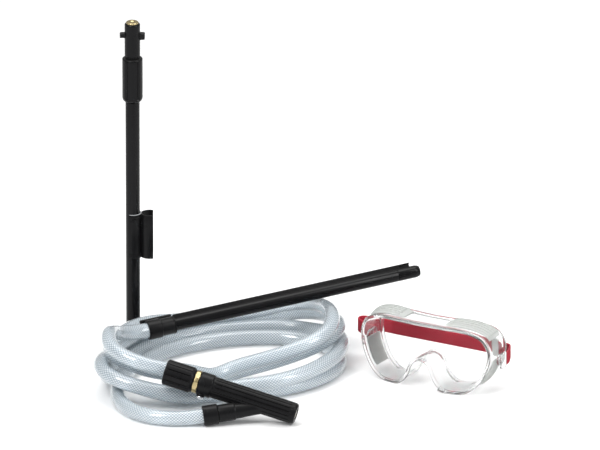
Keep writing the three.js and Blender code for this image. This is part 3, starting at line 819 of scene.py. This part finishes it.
def add_pole():
    body = "lance_pole"
    tube = eased([(4.3, POLE["from"]), (8, POLE["from"]), (8, POLE["collar_from"] - 0.3),
                  (4.3, POLE["collar_from"] - 0.3), (4.3, POLE["from"])], 0.6)
    Blank().turned(tube).finish("pole_tube_drawn", SMOOTH_BLACK, body, ["pole_tube"], "black_plastic")

    low, high, r = POLE["collar_from"], POLE["collar_to"], POLE["collar_r"]
    collar = [(4.3, low), (r - 3.0, low), (r - 1.5, low + 0.9), (r - 0.5, low + 2.4), (r, low + 4.6), (r, low + 9),
              (r, high - 1.2), (r - 0.5, high - 0.35), (r - 1.4, high), (4.3, high), (4.3, low)]
    Blank().turned(finely(eased(collar, 0.8), 0.7), sides=160, relief=collar_relief).finish(
        "grip_collar_scalloped", BLACK, body, ["grip_collar"], "black_plastic", 50)

    start, end = high + 0.3, POLE["height"] - 2.2
    spigot = [(6, start), (8.1, start), (8.1, start + 1.8), (8.75, start + 2.4), (8.75, end - 1.2), (8.2, end),
              (6, end), (6, start)]
    Blank().turned(finely(eased(spigot, 0.4), 0.4), sides=180, relief=spigot_relief).finish(
        "bayonet_spigot_eared", BLACK, body, ["bayonet_spigot"], "black_plastic", 50)

    top = POLE["height"]
    insert = [(1.6, top - 9.8), (5.7, top - 9.8), (5.7, end + 0.3), (7, end + 0.3), (7, top - 0.6), (6.4, top),
              (3.4, top), (2.9, top - 0.5), (1.6, top - 1.1), (1.6, top - 9.8)]
    Blank().turned(eased(insert, 0.25)).finish("inlet_insert_turned", BRASS, body, ["inlet_insert"], "brass")

    nipple = [(1.9, 0), (5.6, 0), (6.1, 0.6), (6.1, 6.4), (8.2, 6.5), (9.2, 7.2), (9.2, 10.2), (8.2, 10.9),
              (1.9, 10.9), (1.9, 0)]
    Blank().turned(eased(nipple, 0.2), sides=96, relief=hexagonal(7.8, 7)).finish(
        "outlet_nipple_turned", BRASS, body, ["outlet_nipple"], "brass")
    add_thread("outlet_thread", Matrix.Translation((0, 0, 1.2)), 6.0, 4.6, 4, 0.45, BRASS, body)


def arc(centre, r, start, end, count):
    angles = [math.radians(start + (end - start) * i / count) for i in range(count + 1)]
    return [(centre[0] + r * math.cos(a), centre[1] + r * math.sin(a)) for a in angles]


def add_clip():
    inner = POLE["tube_r"] + 0.35
    outer = inner + POLE["clip_wall"]
    open_x = inner + outer + 0.2
    low, high = POLE["clip_from"], POLE["clip_from"] + POLE["clip_height"]

    def jaw(x, start, end, wall):
        def lip(angle):
            return arc((x, 0), inner + 0.9, angle, angle, 1)[:1]
        return (arc((x, 0), outer + wall, start - 4, end + 4, 40) + lip(end + 5)
                + arc((x, 0), inner, end, start, 40) + lip(start - 5))

    clip = Blank()
    clip.prism(jaw(0, -115, 115, 0), low, high, ease=0.5)
    clip.prism(jaw(open_x, 71, 289, 0), low, high, ease=0.5)
    web = [(inner + 0.3, -4.4), (outer + 0.6, -4.4), (outer + 0.6, 4.4), (inner + 0.3, 4.4)]
    clip.prism(web, low + 0.6, high - 0.6, ease=0.3)
    for z in (low + 2.5, high - 4.5):
        clip.prism(jaw(0, -112, 112, 0.7), z, z + 2, ease=0.4)
    clip.finish("hose_clip_sprung", BLACK, "clip", ["hose_clip"], "black_plastic")
    # The thin pale strip on the clip's top edge is a painted highlight.
    rim = Blank().prism(jaw(0, -110, 110, -0.5), high - 0.2, high + 0.5, ease=0.2)
    rim.finish("clip_rim_painted_highlight", PAINTED_RIM_HIGHLIGHT, "clip", (), "black_plastic")


# ---- blasting head ---------------------------------------------------------------------------
SCREW_R = 3.9


def add_head():
    body = "hose_and_head"
    how = along(HEAD["from"], HEAD["to"], UP)
    length = (Vector(HEAD["to"]) - Vector(HEAD["from"])).length

    nut_r, nut = HEAD["nut_r"], HEAD["nut"]
    sleeve = [(HEAD["bore"], 0), (nut_r - 1.2, 0), (nut_r, 1.0), (nut_r, nut - 3.4), (nut_r - 2.2, nut), (7, nut),
              (7, nut - 3.5), (HEAD["bore"], nut - 3.5), (HEAD["bore"], 0)]
    flutes = fluted(14, 1.15, 0.22, 1.0, nut - 1.5, nut_r - 3)
    Blank().turned(finely(eased(sleeve, 0.5), 1.2), how, 224, flutes).finish(
        "union_nut_fluted", BLACK, "nut", ["union_nut"], "black_plastic", 45)
    # The thin pale ring on the nut's front face is a painted highlight.
    Blank().turned(eased([(HEAD["bore"], -0.25), (nut_r - 1.9, -0.25), (nut_r - 1.9, 0.2), (HEAD["bore"], 0.2),
                          (HEAD["bore"], -0.25)], 0.15), how).finish("nut_rim_painted_highlight", PAINTED_RIM_HIGHLIGHT, "nut", (), "black_plastic")
    add_thread("nut_thread", how @ Matrix.Translation((0, 0, 3)), HEAD["bore"] - 0.1, 16, 8, 0.55, BLACK, "nut")

    hex_from, hex_to = nut + 0.5, HEAD["hex_to"]
    nipple = [(1.9, nut - 7.4), (9.8, nut - 7.4), (9.8, nut - 3.8), (6.7, nut - 3.8), (6.7, hex_from),
              (12.4, hex_from), (13.4, hex_from + 0.7), (13.4, hex_to - 0.7), (12.4, hex_to), (6.7, hex_to),
              (6.7, 52.5), (1.9, 52.5), (1.9, nut - 7.4)]
    Blank().turned(eased(nipple, 0.2), how, 144, hexagonal(12.7, 11)).finish(
        "inlet_nipple_hexed", BRASS, body, ["inlet_nipple"], "brass")

    mouth = Vector(BRANCH["mouth"])
    root = how @ Vector((0, 0, HEAD["branch_at"]))
    arm = along(mouth, root, how.to_3x3() @ Vector((1, 0, 0)))
    reach = (root - mouth).length
    casing = Blank()
    collar_r, start, end = HEAD["collar_r"], HEAD["hex_to"] + 0.3, HEAD["collar_to"]
    casing.turned(eased([(0, start), (collar_r - 0.6, start), (collar_r, start + 0.8), (collar_r, end - 1),
                         (HEAD["body_r"], end + 0.6), (0, end + 0.6)], 0.5), how, 96)
    r = HEAD["body_r"]
    barrel = [(0, end - 1), (r, end - 1), (r, length - 3), (r - 0.7, length - 1), (r - 2.2, length), (6.3, length),
              (6.3, length - 12), (0, length - 12)]
    casing.turned(finely(eased(barrel, 0.8), 2.2), how, 192, fluted(16, 0.95, 0.27, end + 1.5, length - 4, r - 1))
    neck_from = BRANCH["ring"] + 0.3
    neck = [(0, neck_from), (BRANCH["neck_r"], neck_from), (BRANCH["neck_r"], BRANCH["neck_to"]),
            (BRANCH["neck_r"] - 0.9, BRANCH["neck_to"] + 1), (BRANCH["root_r"], BRANCH["neck_to"] + 24),
            (BRANCH["root_r"], reach), (0, reach)]
    casing.turned(eased(neck, 0.6), arm, 80)
    boss_how = how @ Matrix.Translation((0, 0, HEAD["boss_at"])) @ Matrix.Rotation(
        math.radians(HEAD["boss_turn"]), 4, "Z") @ Matrix.Rotation(math.pi / 2, 4, "Y")
    casing.turned(eased([(0, 2), (4.6, 2), (4.4, HEAD["boss_top"]), (0, HEAD["boss_top"])], 0.6), boss_how, 48)
    casing.finish("blasting_head_casing", BLACK, body, ["head_body"], "black_plastic", 40)

    ring_r, deep, bore = BRANCH["ring_r"], BRANCH["ring"], BRANCH["socket_r"]
    ring = [(bore, 0), (ring_r - 0.5, 0), (ring_r, 0.6), (ring_r, deep - 1), (ring_r - 0.9, deep), (bore, deep),
            (bore, 0)]
    Blank().turned(eased(ring, 0.3), arm, 80).finish(
        "branch_ring_rounded", BLACK, body, ["branch_ring"], "black_plastic")
    add_screw(boss_how)


def add_screw(how):
    """A pan head with a cross recess."""
    base = HEAD["boss_top"] + 0.3

    def dome(x, y):
        r = math.hypot(x, y) / SCREW_R
        height = 2.6 * math.sqrt(max(0.0, 1 - (0.92 * r) ** 2)) - 0.55
        cut = max((1 - smooth_step(0.42, 0.62, abs(x))) * (1 - smooth_step(1.9, 2.3, abs(y))),
                  (1 - smooth_step(0.42, 0.62, abs(y))) * (1 - smooth_step(1.9, 2.3, abs(x))))
        return base + max(height, 0.35) - 1.2 * cut
    rings, sides = 26, 96
    points = [(0, 0, dome(0, 0))]
    for i in range(1, rings + 1):
        r = SCREW_R * i / rings
        for k in range(sides):
            a = 2 * math.pi * k / sides
            points.append((r * math.cos(a), r * math.sin(a), dome(r * math.cos(a), r * math.sin(a))))
    rim = 1 + (rings - 1) * sides
    low = len(points)
    for k in range(sides):
        a = 2 * math.pi * k / sides
        points.append((SCREW_R * math.cos(a), SCREW_R * math.sin(a), base))
    faces = fan(0, rings, sides) + band(rim, low, sides) + [tuple(low + k for k in reversed(range(sides)))]
    screw = Blank().shell(moved(points, how), faces)
    screw.turned([(0, 10), (1.4, 10), (1.4, base + 0.3), (0, base + 0.3)], how, 32)
    screw.finish("cross_head_screw", STEEL, "hose_and_head", ["housing_screw"], "steel")


# ---- suction lance ---------------------------------------------------------------------------
def add_lance():
    body = "suction_lance"
    how = along(LANCE["from"], LANCE["to"], UP)
    length = (Vector(LANCE["to"]) - Vector(LANCE["from"])).length
    tip_from, r, bore = length - LANCE["tip"], LANCE["tube_r"], LANCE["bore"]
    tube = [(bore, 12), (r, 12), (r, tip_from - 0.3), (bore, tip_from - 0.3), (bore, 12)]
    Blank().turned(eased(tube, 0.2), how, 64).finish("suction_tube_drawn", SMOOTH_BLACK, body, ["suction_tube"],
                                                     "black_plastic")
    tip = [(bore, tip_from), (r, tip_from), (r, length - 5), (r - 0.7, length - 1.6), (r - 1.3, length - 0.3),
           (bore + 0.3, length), (bore, length - 0.4), (bore, tip_from)]
    Blank().turned(eased(tip, 0.5), how, 64).finish("suction_tip_rounded", SMOOTH_BLACK, body, ["suction_tip"],
                                                    "black_plastic")
    hole_how = how @ Matrix.Translation((0, 0, length - LANCE["hole_back"])) @ Matrix.Rotation(
        math.radians(LANCE["hole_turn"]), 4, "Z") @ Matrix.Rotation(math.pi / 2, 4, "Y")
    eyelet = eased([(1.1, 6.4), (1.9, 6.4), (1.9, 7.15), (1.1, 7.15), (1.1, 6.4)], 0.15)
    Blank().turned(eyelet, hole_how, 32).finish("air_hole_eyelet", SMOOTH_BLACK, body, (), "black_plastic")

    spine = how @ Matrix.Rotation(math.radians(LANCE["channel_turn"]), 4, "Z")
    half, top = LANCE["channel_width"] / 2, LANCE["channel_top"]
    notch = LANCE["channel_to"] - 9

    def section(height):
        corner = 1.5
        groove = [(height, 1.3), (height - 1.0, 0.9), (height - 1.25, 0), (height - 1.0, -0.9), (height, -1.3)]
        low = [(5.2, -half)]
        right = arc((height - corner, -half + corner), corner, -90, 0, 6)
        left = arc((height - corner, half - corner), corner, 0, 90, 6)
        return low + right + list(reversed(groove)) + left + [(5.2, half)]
    channel = Blank()
    channel.prism(section(top), LANCE["channel_from"], notch - 4, spine, 0.3)
    lid = [(top - 1.3, -half + 0.4), (top, -half + 1.2), (top, half - 1.2), (top - 1.3, half - 0.4)]
    channel.prism(lid, notch - 4.5, LANCE["channel_to"], spine, 0.4)
    filler = [(5.2, -1.6), (top - 1, -1.6), (top - 1, 1.6), (5.2, 1.6)]
    channel.prism(filler, notch - 4.5, LANCE["channel_to"] - 0.5, spine, 0.2)
    channel.finish("air_channel_grooved", SMOOTH_BLACK, body, ["air_channel"], "black_plastic")

    bell, neck_r, socket_bore = LANCE["socket_r"], LANCE["neck_r"], LANCE["socket_bore"]
    bell_end, neck_end = LANCE["socket_to"], LANCE["neck_to"]
    socket = [(socket_bore, 0), (10.6, 0), (bell, 0.5), (bell, bell_end), (neck_r, bell_end + 0.9),
              (neck_r, neck_end), (7.3, neck_end), (7.3, 24), (socket_bore, 24), (socket_bore, 0)]
    Blank().turned(eased(socket, 0.4), how, 80).finish("lance_socket_stepped", BLACK, body, ["lance_socket"],
                                                       "black_plastic")
    air = how @ Matrix.Rotation(math.radians(LANCE["channel_turn"] - 14), 4, "Z")
    spout = [(1.1, -4), (2, -4), (2, 32.7), (1.1, 32.7), (1.1, -4)]
    Blank().turned(eased(spout, 0.3), air @ Matrix.Translation((LANCE["socket_r"] + 2.3, 0, 0)), 32).finish(
        "air_tube_drawn", BLACK, body, ["air_tube"], "black_plastic")


# ---- safety goggles --------------------------------------------------------------------------
CHEEK = [(0, 34), (9, 30), (17, 13), (27, 2.4), (40, 0), (55, 3), (69, 15), (78.5, 34), (81, 52), (74, 67), (58, 75),
         (30, 77.4)]
OUTLINE_COUNT = 288
GOGGLE_HOW = (Matrix.Translation((GOGGLES["x"], GOGGLES["y"], 0))
              @ Matrix.Rotation(math.radians(GOGGLES["turn"]), 4, "Z"))


def through(points, count, closed):
    """A smooth curve through points, eased by the root of their distances."""
    points = [np.array(p, float) for p in points]
    total = len(points)
    spans = total if closed else total - 1
    out = []
    marks = count if closed else count + 1
    for q in range(marks):
        at = q / count * spans
        i = min(int(at), spans - 1)
        t = at - i
        if closed:
            p0, p1, p2, p3 = (points[(i + k) % total] for k in (-1, 0, 1, 2))
        else:
            p1, p2 = points[i], points[i + 1]
            p0 = points[i - 1] if i else 2 * p1 - p2
            p3 = points[i + 2] if i + 2 < total else 2 * p2 - p1
        d0, d1, d2 = (max(np.linalg.norm(b - a) ** 0.5, 1e-6) for a, b in ((p0, p1), (p1, p2), (p2, p3)))
        m1 = d1 * ((p1 - p0) / d0 - (p2 - p0) / (d0 + d1) + (p2 - p1) / d1)
        m2 = d1 * ((p2 - p1) / d1 - (p3 - p1) / (d1 + d2) + (p3 - p2) / d2)
        a, b = 2 * p1 - 2 * p2 + m1 + m2, -3 * p1 + 3 * p2 - 2 * m1 - m2
        out.append(a * t ** 3 + b * t ** 2 + m1 * t + p1)
    return np.array(out)


def front_outline():
    left = [(-x, z) for x, z in reversed(CHEEK[1:])]
    return through(CHEEK + [(0, 77.8)] + left, OUTLINE_COUNT, True)


FRONT = front_outline()
AHEAD = np.roll(FRONT, -1, 0) - np.roll(FRONT, 1, 0)
OUTWARD = np.stack([AHEAD[:, 1], -AHEAD[:, 0]], 1) / np.linalg.norm(AHEAD, axis=1)[:, None]


def skirt_point(i, depth, out):
    """A point of the skirt: i round the outline, depth 0 at the window to 1 at the face."""
    low = int(math.floor(i)) % OUTLINE_COUNT
    high, t = (low + 1) % OUTLINE_COUNT, i - math.floor(i)
    at = FRONT[low] * (1 - t) + FRONT[high] * t
    normal = OUTWARD[low] * (1 - t) + OUTWARD[high] * t
    side = (at[0] / GOGGLES["half"]) ** 2
    front = GOGGLES["bow"] * side
    back = GOGGLES["back"] + (GOGGLES["back_side"] - GOGGLES["back"]) * side
    draw = 1 - 0.04 * depth
    return (at[0] * draw + normal[0] * out, front + (back - front) * depth, max(at[1] * draw + normal[1] * out, 0.0))


def add_skirt():
    section = [(0, -2.4), (0, 0.5), (0.02, 0.95), (0.075, 0.95), (0.095, 0.2), (0.14, 0.0), (0.3, -0.3), (0.5, -0.4),
               (0.7, -0.1), (0.86, 0.5), (0.93, 1.5), (0.975, 2.1), (1.0, 1.5), (1.005, -0.6), (0.985, -2.2),
               (0.955, -2.6), (0.92, -2.3), (0.8, -2.3), (0.6, -2.7), (0.4, -2.8), (0.2, -2.6), (0.1, -2.4)]
    rings = [[skirt_point(i, depth, out) for i in range(OUTLINE_COUNT)] for depth, out in section]
    skirt = Blank().rings(rings, GOGGLE_HOW, closed=True)
    tab = [(24, 3.2), (31, 1.8), (31.6, 5.2), (24.8, 6.8)]
    tab_how = GOGGLE_HOW @ Matrix(((1, 0, 0, 0), (0, 0, -1, 0), (0, 1, 0, 0), (0, 0, 0, 1)))
    skirt.prism(tab, -3.5, 2.6, tab_how, 0.6)
    skirt.finish("goggle_skirt", SOFT_CLEAR, "goggles", ["goggle_frame"], "goggle_clear", 50)


def add_window():
    middle = np.array((0, 52.0))
    edge = FRONT - OUTWARD * (GOGGLES["wall"] + 0.35)
    rings, sides = 12, OUTLINE_COUNT
    points = []

    def sheet(offset):
        start = len(points)
        for k in range(rings + 1):
            spots = middle + (edge - middle) * (k / rings)
            for x, z in (spots[:1] if k == 0 else spots):
                points.append((x, GOGGLES["bow"] * (x / GOGGLES["half"]) ** 2 + offset, z))
        return start

    front, back = sheet(1.0), sheet(1.0 + GOGGLES["lens"])
    rim = 1 + (rings - 1) * sides
    faces = fan(front, rings, sides) + fan(back, rings, sides) + band(front + rim, back + rim, sides)
    Blank().shell(moved(points, GOGGLE_HOW), faces).finish(
        "goggle_window", LENS_CLEAR, "goggles", ["goggle_lens"], "goggle_clear", 40)


def hood(depth, rise):
    """How much a vent swells from its front edge to its back."""
    return 1 + (rise - 1) * smooth_step(0.25, 0.7, depth)


def add_vents():
    scale = OUTLINE_COUNT / 72
    stud_spots = []
    for level, start, end, rise in (("upper", 26.2, 33.4, 2.3), ("lower", 17, 22, 1.0)):
        for side, first, last in (("right", start * scale, end * scale),
                                  ("left", (72 - end) * scale, (72 - start) * scale)):
            pad = Blank()
            rings = []
            steps = 16
            loop = [(0.27, 0.1), (0.255, 1.2), (0.27, 2.0), (0.30, 2.3), (0.4, 2.35), (0.5, 2.35), (0.6, 2.35),
                    (0.7, 2.35), (0.8, 2.3), (0.83, 2.0), (0.845, 1.2), (0.83, 0.1)]
            for k in range(steps + 1):
                i = first + (last - first) * k / steps
                ease = min(1.0, k / 1.5, (steps - k) / 1.5)
                rings.append([skirt_point(i, depth, 0.1 + (out * hood(depth, rise) - 0.1) * max(ease, 0.35))
                              for depth, out in loop])
            pad.rings(rings, GOGGLE_HOW)
            for row in (0.34, 0.44, 0.54, 0.64, 0.74):
                low = 2.35 * hood(row, rise) - 0.15
                bars = [[skirt_point(first + (last - first) * (0.08 + 0.84 * k / steps), row + d, out)
                         for d, out in ((-0.012, low), (-0.012, low + 0.6), (0.012, low + 0.6), (0.012, low))]
                        for k in range(steps + 1)]
                pad.rings(bars, GOGGLE_HOW)
            vent = f"vent_{level}_{side}"
            pad.finish(vent + "_ribbed", VENT_CLEAR, "goggles", [vent], "goggle_clear", 45)
            for row in (0.39, 0.49, 0.59, 0.69):
                for k in range(9):
                    i = first + (last - first) * (0.12 + 0.76 * k / 8)
                    stud_spots.append(skirt_point(i, row, 2.35 * hood(row, rise) + 0.1))
    spots = moved(stud_spots, GOGGLE_HOW) * MM + np.array(HOME)
    mesh = grown(STUDS, "vent_studs", spots, [], VENT_CLEAR, {"Size": 0.65 * MM, "Rounds": 2})
    settle("vent_studs", mesh, VENT_CLEAR, "goggles", ())


def rounded_box(width, height, corner, count=5):
    w, h = width / 2 - corner, height / 2 - corner
    out = []
    for cx, cy, start in ((w, -h, -90), (w, h, 0), (-w, h, 90), (-w, -h, 180)):
        out += arc((cx, cy), corner, start, start + 90, count)
    return out


STRAP_WIDTH = 15.8


def strap_line(count):
    clip_mid = (GOGGLES["clip_from"] + GOGGLES["clip_to"]) / 2
    start, back = GOGGLES["strap_from"], GOGGLES["strap_back"]
    points = [(-clip_mid, start), (-clip_mid - 0.3, start + 2), (-92, 56), (-104, 59), (-112, 65), (-112, 71.5),
              (-102, back), (-60, back), (0, back), (48, back), (66, back), (75, 73.5), (79, 66), (82, 58),
              (clip_mid, start + 2), (clip_mid, start)]
    return through(points, count, False)


def add_headband():
    body = "headband"
    line = strap_line(220)
    way = np.gradient(line, axis=0)
    way /= np.linalg.norm(way, axis=1)[:, None]
    out = np.stack([-way[:, 1], way[:, 0]], 1)
    section = rounded_box(GOGGLES["strap_t"], STRAP_WIDTH, 0.55, 3)
    points = []
    for at, side in zip(line, out):
        for x, z in section:
            swell = 1 + 0.12 * (abs(z) > STRAP_WIDTH / 2 - 1.6)
            points.append((at[0] + side[0] * x * swell, at[1] + side[1] * x * swell, GOGGLES["strap_z"] + z))
    across = [z * MM + 0.009 for x, z in section] + [section[0][1] * MM + 0.009]
    run = run_of(np.column_stack([line, np.zeros(len(line))]))
    mesh = mapped_skin("woven_strap", moved(points, GOGGLE_HOW), across, run)
    settle("woven_strap", mesh, WEBBING, body, ["strap"], 40)
    spots = []
    for face in (-1, 1):
        spots.append(line + out * face * (GOGGLES["strap_t"] / 2))
    host, edges = [], []
    for patch in spots:
        start = len(host)
        flat = moved(np.column_stack([patch, np.full(len(patch), GOGGLES["strap_z"])]), GOGGLE_HOW)
        host += list(flat * MM + np.array(HOME))
        edges += [(start + k, start + k + 1) for k in range(len(patch) - 1)]
    values = {"Pitch": 1.5 * MM, "Radius": 0.3 * MM, "Height": (STRAP_WIDTH - 1.6) * MM}
    ribs = grown(RIBS, "strap_ribs", host, edges, WEBBING, values)
    settle("strap_ribs", ribs, WEBBING, body, ())

    for name, side in (("left", -1), ("right", 1)):
        clip = Blank()
        inner = GOGGLE_HOW @ Vector((side * GOGGLES["clip_from"], GOGGLES["pivot_d"], GOGGLES["pivot_z"]))
        outer = GOGGLE_HOW @ Vector((side * GOGGLES["clip_to"], GOGGLES["pivot_d"], GOGGLES["pivot_z"]))
        thick = GOGGLES["clip_to"] - GOGGLES["clip_from"]
        pivot_r = GOGGLES["pivot_r"]
        disc = [(0, 0), (pivot_r, 0), (pivot_r, thick), (4.2, thick), (3.6, thick + 0.8), (0, thick + 1.2)]
        clip.turned(eased(disc, 0.5), along(inner, outer, UP), 56)
        middle = (GOGGLES["pivot_d"] + GOGGLES["strap_from"]) / 2
        plate_how = GOGGLE_HOW @ Matrix(((0, 0, 1, side * GOGGLES["clip_from"] - (thick if side < 0 else 0)),
                                         (1, 0, 0, middle), (0, 1, 0, GOGGLES["strap_z"]), (0, 0, 0, 1)))
        plate = rounded_box(GOGGLES["strap_from"] - GOGGLES["pivot_d"] - 1, GOGGLES["strap_height"], 2.5)
        clip.prism(plate, 0, thick, plate_how, 0.5)
        clip.finish(f"strap_clip_{name}_moulded", SOFT_CLEAR, body, [f"strap_clip_{name}"], "goggle_clear")

    centre = GOGGLE_HOW @ Matrix(((0, 0, 1, GOGGLES["buckle"] - 4.5), (1, 0, 0, GOGGLES["strap_back"]),
                                  (0, 1, 0, GOGGLES["strap_z"]), (0, 0, 0, 1)))
    outer, inner = rounded_box(4.6, 23, 1.4), rounded_box(2.3, 18.8, 0.8)
    rings = []
    for loop, z in ((inner, 0.3), (outer, 0.3), (outer, 0.0), (outer, 4.5), (outer, 9), (outer, 8.7), (inner, 8.7)):
        grow = 0.94 if z in (0.0, 9) else 1.0
        rings.append([(x * grow, y * grow, z) for x, y in loop])
    buckle = Blank().rings(rings, centre, closed=True)
    buckle.finish("strap_buckle_moulded", VENT_CLEAR, body, ["strap_buckle"], "goggle_clear", 50)


# ---- finishes of the solids carried over -------------------------------------------------------
SLOTS = {"black_plastic": BLACK, "black_rubber": RUBBER, "brass": BRASS, "steel": STEEL, "ceramic": CERAMIC,
         "hose_clear": PVC_HOSE, "goggle_clear": SOFT_CLEAR, "strap_red": WEBBING}


def finish_frame():
    for part in frame["record"]["subparts"]:
        solid = frame["nodes"][part["node"]]
        solid.data.materials.clear()
        solid.data.materials.append(SLOTS[part["material_slot"]])


def add_floor():
    mesh = bpy.data.meshes.new("studio_floor")
    size = 4.0
    corners = ((-size, -size), (size, -size), (size, size), (-size, size))
    mesh.from_pydata([(x, y, -0.0002) for x, y in corners], [], [(0, 1, 2, 3)])
    mesh.materials.append(floor_material())
    floor = bpy.data.objects.new("studio_floor", mesh)
    bpy.context.scene.collection.objects.link(floor)


add_camera()
add_studio()
add_hose()
add_floor()
finish_frame()
add_pole()
add_clip()
add_head()
add_lance()
add_skirt()
add_window()
add_vents()
add_headband()
